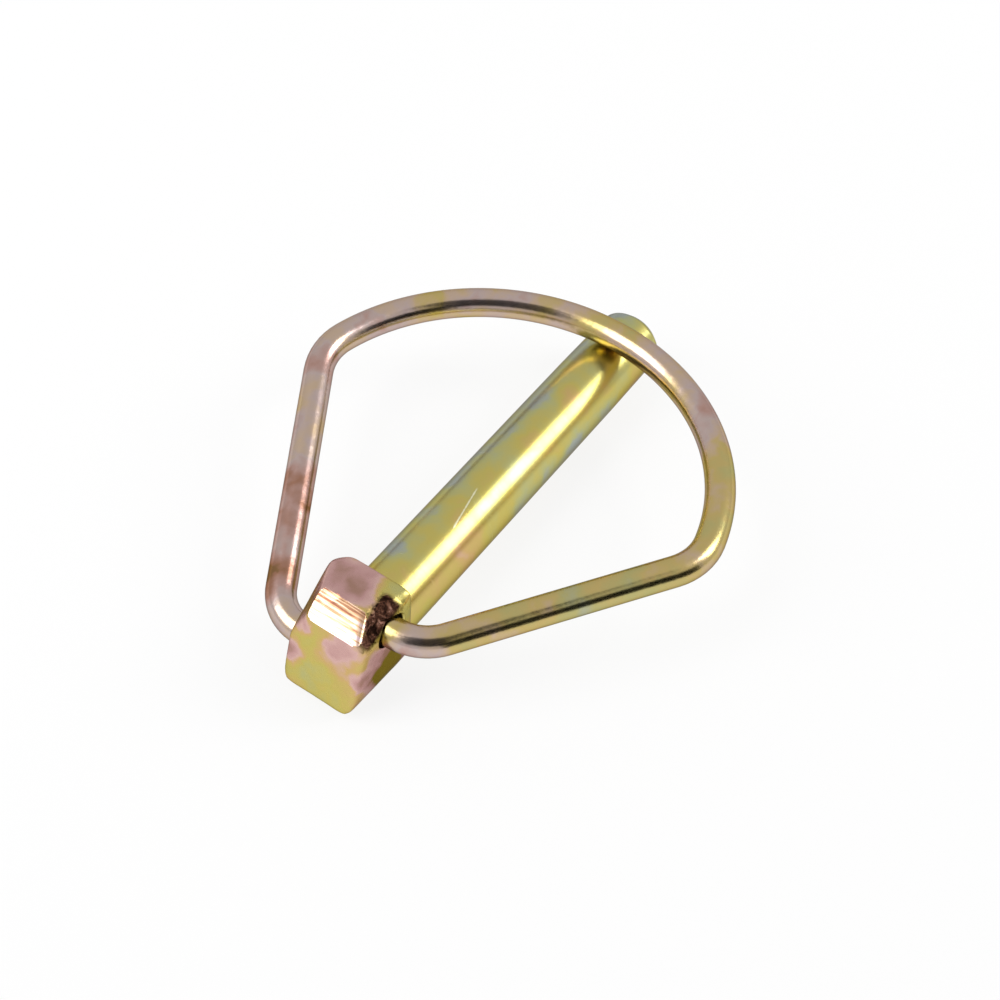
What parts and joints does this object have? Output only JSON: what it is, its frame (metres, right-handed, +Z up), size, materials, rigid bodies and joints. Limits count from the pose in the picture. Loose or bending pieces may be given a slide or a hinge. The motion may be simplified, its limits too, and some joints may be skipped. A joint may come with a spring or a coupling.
{
  "type": "lynch pin",
  "caption": "Lynch pin with a square forged head, a round shank and a sprung wire bow that snaps over the shank to lock it.",
  "frame": {"origin": "on the shank's axis, in the plane of the head's shoulder", "axes": "+X along the shank to its tip, +Y across the head to the lower hole's side, +Z up through the bow as the pin lies"},
  "size_m": [0.0727, 0.0625, 0.0149],
  "materials": {
    "plated_forging": "yellow zinc chromate plating on forged and turned steel",
    "plated_wire": "yellow zinc chromate plating on drawn spring wire"
  },
  "bodies": {
    "pin": {"pin": "plated_forging"},
    "bow": {"bow": "plated_wire"}
  },
  "joints": [
    {"name": "bow_hinge", "type": "hinge", "parent": "pin", "child": "bow", "pos_m": [-0.0061, 0, 0.0031], "axis": [0, -1, 0], "range_deg": [0, 180], "deforming": ["bow"]}
  ]
}
